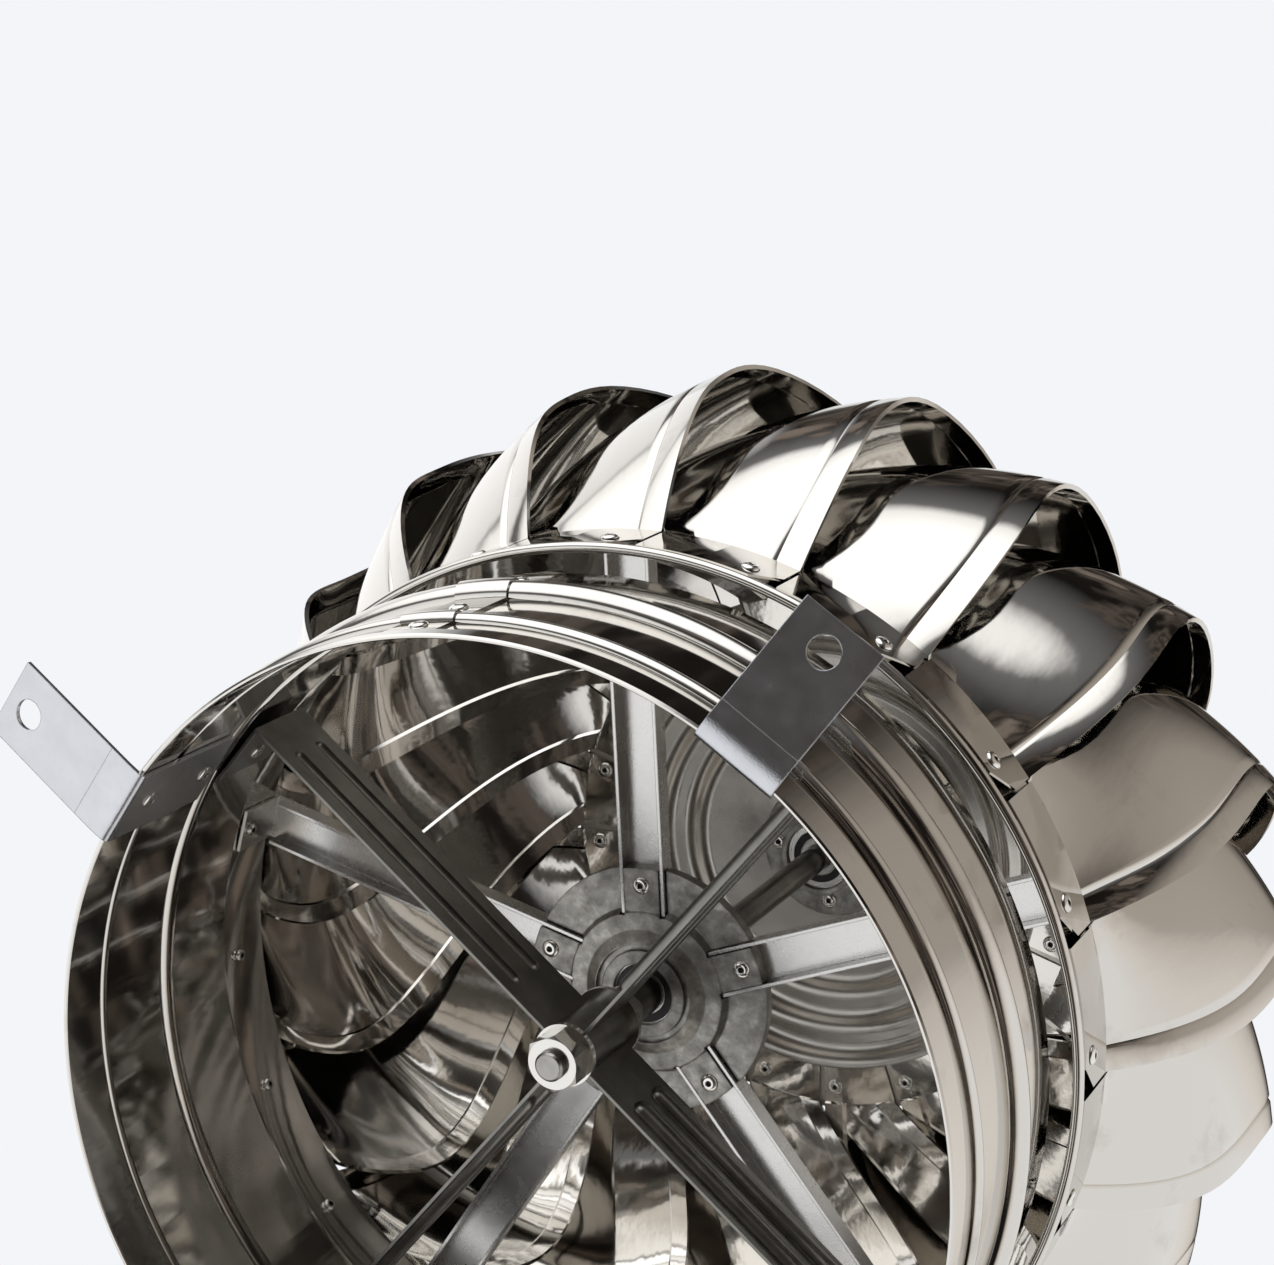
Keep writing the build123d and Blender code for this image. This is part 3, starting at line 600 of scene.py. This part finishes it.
def vane_mesh(turn_angle):
    """Closed sheet with both long edges folded to the inside."""
    rows, grid = vane_rows(), []
    foot_end, tip_start = len(rows) - edge_rows - 3, len(rows) - 3
    for lead, trail in rows:
        width = (polar(lead.x, lead.y, lead.z) - polar(trail.x, trail.y, trail.z)).length
        fold = min(hem / width, 0.4)
        step = fold / 6
        shares = [0, fold, fold + step]
        shares += [fold + step + (1 - 2 * fold - 3 * step) * k / (vane_columns - 1)
                   for k in range(1, vane_columns - 1)]
        shares += [1 - fold - 2 * step, 1 - fold - step, 1 - fold, 1]
        grid.append([polar(*(trail + (lead - trail) * u)) for u in shares])
    count, size = len(grid), len(grid[0])
    normals = []
    for i in range(count):
        row = []
        for j in range(size):
            along = grid[min(i + 1, count - 1)][j] - grid[max(i - 1, 0)][j]
            across = grid[i][min(j + 1, size - 1)] - grid[i][max(j - 1, 0)]
            row.append(across.cross(along).normalized())
        normals.append(row)
    points, faces = [], []
    for i in range(count):
        folded = foot_end <= i < tip_start
        depth = [hem_fold if folded and (j < 2 or j >= size - 2) else 0.0 for j in range(size)]
        dent = [crease if folded and j == size - 3 else 0.0 for j in range(size)]
        points += [grid[i][j] - normals[i][j] * depth[j] for j in range(size)]
        points += [grid[i][j] + normals[i][j] * (sheet - dent[j]) for j in range(size)]
    spin = Matrix.Rotation(math.radians(turn_angle), 3, "Z")
    points = [spin @ p for p in points]
    for i in range(count - 1):
        near, far = i * 2 * size, (i + 1) * 2 * size
        for j in range(size - 1):
            faces.append((near + j, near + j + 1, far + j + 1, far + j))
            faces.append((near + size + j, far + size + j, far + size + j + 1, near + size + j + 1))
        faces.append((near, far, far + size, near + size))
        faces.append((near + size - 1, near + 2 * size - 1, far + 2 * size - 1, far + size - 1))
    for base, flip in ((0, False), ((count - 1) * 2 * size, True)):
        for j in range(size - 1):
            face = (base + j, base + size + j, base + size + j + 1, base + j + 1)
            faces.append(face[::-1] if flip else face)
    return points, faces


for number in range(vane_count):
    name = f"vane_{number + 1}"
    scoop = shaped(f"scoop_{number + 1:02d}", *vane_mesh(vane_turn + 360 * number / vane_count),
                   stainless, "turbine", "polished_stainless")
    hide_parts(name)

# ---- Vane rivets --------------------------------------------------------------------
# One foot rivet through each vane and the ring, and one tip rivet through the plate.
# Every fourth foot rivet also holds the end of an arm.
foot_rivet_turn = 4.1
foot_rivet_z = ring_top - 15.5
tip_rivet_turn = 2.6
tip_rivet_radius = tip_radius - 7.0
arm_width = 16.0
arm_sheet = 1.2
arm_end = math.sqrt(ring_radius ** 2 - (arm_width / 2) ** 2) - seat_gap

feet, tips, grips = [], [], []
for number in range(vane_count):
    angle = vane_turn + 360 * number / vane_count
    head = foot_radius + sheet
    feet.append(facing(polar(head, angle - foot_rivet_turn, foot_rivet_z), polar(1, angle - foot_rivet_turn)))
    grips.append(head - (arm_end - arm_sheet if number % 4 == 0 else ring_radius) + grip_slack)
    tips.append(facing(polar(tip_rivet_radius, angle + tip_turn - tip_rivet_turn, tip_z), (0, 0, -1)))
rivet_set("vane_foot_rivets", feet, grips, "turbine")
rivet_set("vane_tip_rivets", tips, [2 * sheet + seat_gap] * vane_count, "turbine")

# ---- Arms ---------------------------------------------------------------------------
# Five galvanised channels, folded from 1.2 mm strip, from the lower hub to the ring.
# The channels' zinc is newer and brighter than the strips'.
channel_zinc = galvanised("galvanised channel", "D8D7D5", "CDCCCA", 0.26)
finish(channel_zinc, *[f"arm_{number}" for number in range(1, 6)])

# ---- Lower hub ----------------------------------------------------------------------
# Die-cast and left rough, with bright rubbed rings where it was faced for the bearing.
arm_height = 128.0
hub_flange = 4.0
rivet_boss = 2.4
hub_low = rim + arm_height - hub_flange - rivet_boss
hub_rivet_radius = 37.5

# Flow marks of the casting about 5 mm across, on lumps of about 11 mm.
mottle_size = 1000 / 190
lump_size = 1000 / 90


def cast_metal(name, light, dark):
    """Rough die-cast zinc alloy, mottled, with rubbed edges."""
    material = bpy.data.materials.new(name)
    material.use_nodes = True
    tree = material.node_tree
    tree.nodes.clear()
    place = add(tree, "ShaderNodeTexCoord").outputs["Object"]
    mottle = add(tree, "ShaderNodeTexNoise",
                 {"Scale": noise_scale(mottle_size), "Detail": 6.0, "Roughness": 0.65}, Vector=place)
    lumps = add(tree, "ShaderNodeTexNoise", {"Scale": noise_scale(lump_size), "Detail": 2.0}, Vector=place)
    colour = ramp(tree, mottle.outputs["Fac"], (0.32, dark), (0.55, light), (0.72, "BFBDB8"))
    rough = add(tree, "ShaderNodeMapRange", {"To Min": 0.5, "To Max": 0.32}, Value=mottle.outputs["Fac"])
    edge = add(tree, "ShaderNodeBevel", {"samples": 4, "Radius": 0.9 * mm})
    broad = add(tree, "ShaderNodeBump", {"Strength": 0.35, "Distance": 2.0 * mm},
                Height=lumps.outputs["Fac"], Normal=edge.outputs[0])
    bump = add(tree, "ShaderNodeBump", {"Strength": 0.3, "Distance": 0.5 * mm},
               Height=mottle.outputs["Fac"], Normal=broad.outputs[0])
    metal = add(tree, "ShaderNodeBsdfPrincipled", {"Metallic": 1.0}, Base_Color=colour,
                Roughness=rough.outputs[0], Normal=bump.outputs[0])
    add(tree, "ShaderNodeOutputMaterial", Surface=metal.outputs[0])
    return material


cast = cast_metal("die-cast alloy", "9E9C97", "7B7975")
finish(cast, "lower_hub", "top_hub")
places = [facing(polar(hub_rivet_radius, vane_turn - foot_rivet_turn + 72 * number, hub_low), (0, 0, -1))
          for number in range(5)]
rivet_set("hub_rivets", places, [hub_flange + rivet_boss + arm_sheet] * len(places), "turbine")

# ---- Top plate and top hub ----------------------------------------------------------
# Pressed from the same sheet in three steps, with the cast top hub riveted under it.
plate_low = rim + plate_height
plate_overhang = 2.0
plate_edge = tip_radius + plate_overhang
step_count = 3
step_gap = 2.0
step_run = 5.0
step_rise = 3.6
step_rounding = 7.0
rounding_facets = 8
plate_facets = 240
middle_radius = 47.0
step_radius = tip_radius - tip_flange - step_gap
step_pitch = (step_radius - middle_radius) / step_count
plate_middle = plate_low + step_count * step_rise
top_hub_flange = 3.0
top_rivet_radius = 21.5
top_rivet_turn = 55.5

plate_line = [(plate_edge, plate_low)]
for number in range(step_count):
    edge, height = step_radius - number * step_pitch, plate_low + number * step_rise
    plate_line += [(edge, height), (edge - step_run, height + step_rise)]
plate_line.append((0.02, plate_middle))
plate_sheet = thickened(rounded(plate_line, step_rounding, rounding_facets), sheet)
# Pressing dulls the sheet, so the plate's steps show soft bands and no sharp reflections. Its tint,
# darker than the sheet's, is painted shade that dims the plate deep in the head.
shaded_satin = polished_stainless("pressed stainless sheet with painted shade", "BDB9B3", 0.2)
plate = shaped("top_plate_sheet", *spun(plate_sheet, plate_facets), shaded_satin, "turbine", "polished_stainless")
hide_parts("top_plate")
top_rivet_z = plate_middle - top_hub_flange
places = [facing(polar(top_rivet_radius, top_rivet_turn + 90 * number, top_rivet_z), (0, 0, -1))
          for number in range(4)]
rivet_set("top_hub_rivets", places, [top_hub_flange + sheet] * len(places), "turbine")

# ---- Floor --------------------------------------------------------------------------
# Pale painted floor under the tabs, lit a little from itself so that it meets the backdrop
# without a line. It is seen from above only, so it never hides the throat.
floor_half = 4.0
floor_glow = 0.42
floor_material = bpy.data.materials.new("pale floor")
floor_material.use_nodes = True
tree = floor_material.node_tree
tree.nodes.clear()
underside = add(tree, "ShaderNodeNewGeometry").outputs["Backfacing"]
paint = add(tree, "ShaderNodeBsdfDiffuse", {"Color": linear("EEF0F3")})
glow = add(tree, "ShaderNodeEmission", {"Color": linear(backdrop_colour), "Strength": floor_glow})
pale = add(tree, "ShaderNodeAddShader", n0=paint.outputs[0], n1=glow.outputs[0])
clear = add(tree, "ShaderNodeBsdfTransparent")
covered = add(tree, "ShaderNodeMixShader", n0=underside, n1=pale.outputs[0], n2=clear.outputs[0])
add(tree, "ShaderNodeOutputMaterial", Surface=covered.outputs[0])
floor_mesh = bpy.data.meshes.new("floor")
floor_corners = [(-floor_half, -floor_half, 0), (floor_half, -floor_half, 0), (floor_half, floor_half, 0),
                 (-floor_half, floor_half, 0)]
floor_mesh.from_pydata(floor_corners, [], [(0, 1, 2, 3)])
floor_mesh.materials.append(floor_material)
floor = bpy.data.objects.new("floor", floor_mesh)
bpy.context.scene.collection.objects.link(floor)
floor.visible_glossy = False
floor.visible_diffuse = False
floor.visible_shadow = False
